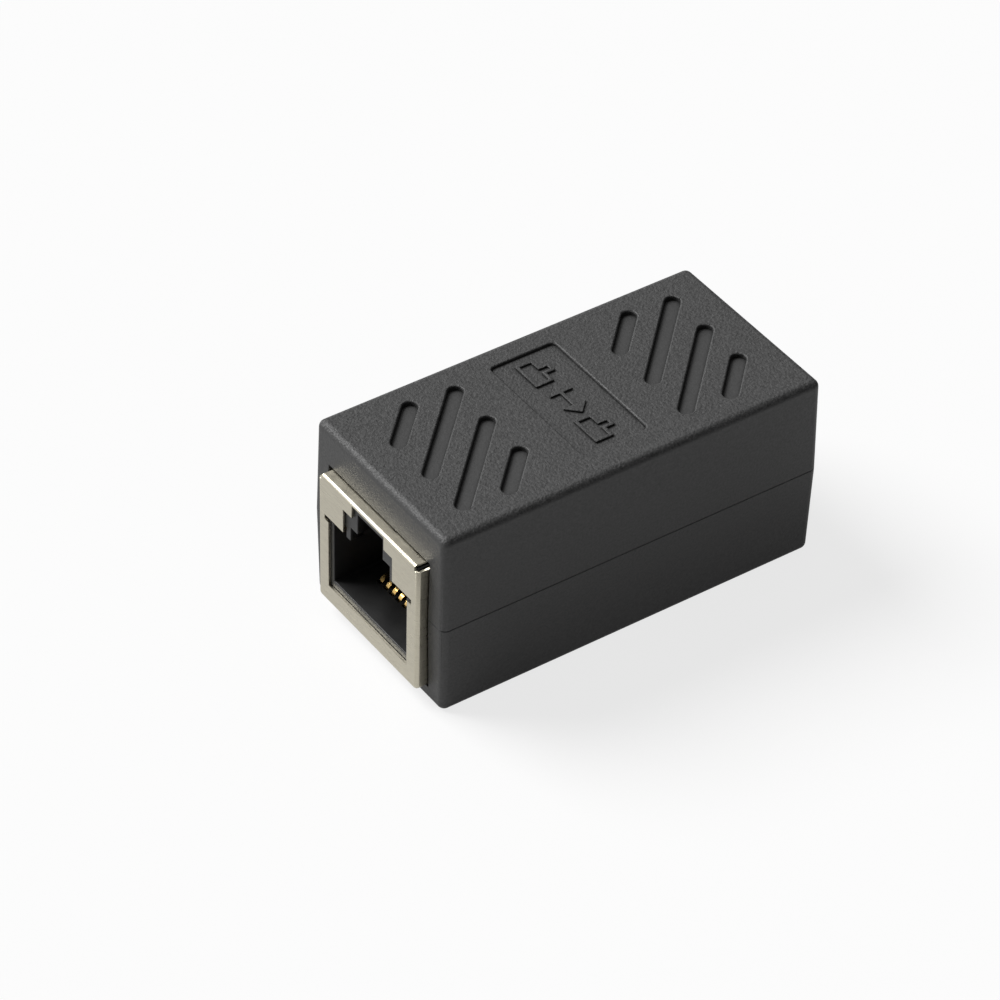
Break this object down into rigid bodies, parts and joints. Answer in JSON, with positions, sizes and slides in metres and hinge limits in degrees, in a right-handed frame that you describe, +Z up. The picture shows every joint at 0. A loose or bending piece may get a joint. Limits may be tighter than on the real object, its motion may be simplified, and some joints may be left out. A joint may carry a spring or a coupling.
{
  "type": "rj45 inline coupler",
  "caption": "Inline coupler for network patch leads: black two-part housing with a shielded modular socket at each end, joined by a small circuit board.",
  "frame": {"origin": "middle of the underside", "axes": "+X along the coupler from port a to port b, +Y across it, +Z up towards the latch side of both ports"},
  "size_m": [0.0444, 0.0212, 0.0203],
  "materials": {
    "housing_plastic": "black plastic with a fine spark-eroded grain",
    "jack_plastic": "black glass-filled plastic, slightly glossy",
    "shield_metal": "nickel-plated sheet, satin",
    "contact_gold": "gold-plated bronze wire, bright",
    "board": "green solder mask over glass-fibre board",
    "solder_tin": "bright tin solder"
  },
  "bodies": {
    "root": {"upper_shell": "housing_plastic", "lower_shell": "housing_plastic", "circuit_board": "board", "shield_a": "shield_metal", "jack_body_a": "jack_plastic", "contact_carrier_a": "jack_plastic", "contact_a1": "contact_gold", "contact_a2": "contact_gold", "contact_a3": "contact_gold", "contact_a4": "contact_gold", "contact_a5": "contact_gold", "contact_a6": "contact_gold", "contact_a7": "contact_gold", "contact_a8": "contact_gold", "solder_a": "solder_tin", "shield_b": "shield_metal", "jack_body_b": "jack_plastic", "contact_carrier_b": "jack_plastic", "contact_b1": "contact_gold", "contact_b2": "contact_gold", "contact_b3": "contact_gold", "contact_b4": "contact_gold", "contact_b5": "contact_gold", "contact_b6": "contact_gold", "contact_b7": "contact_gold", "contact_b8": "contact_gold", "solder_b": "solder_tin"}
  },
  "joints": []
}
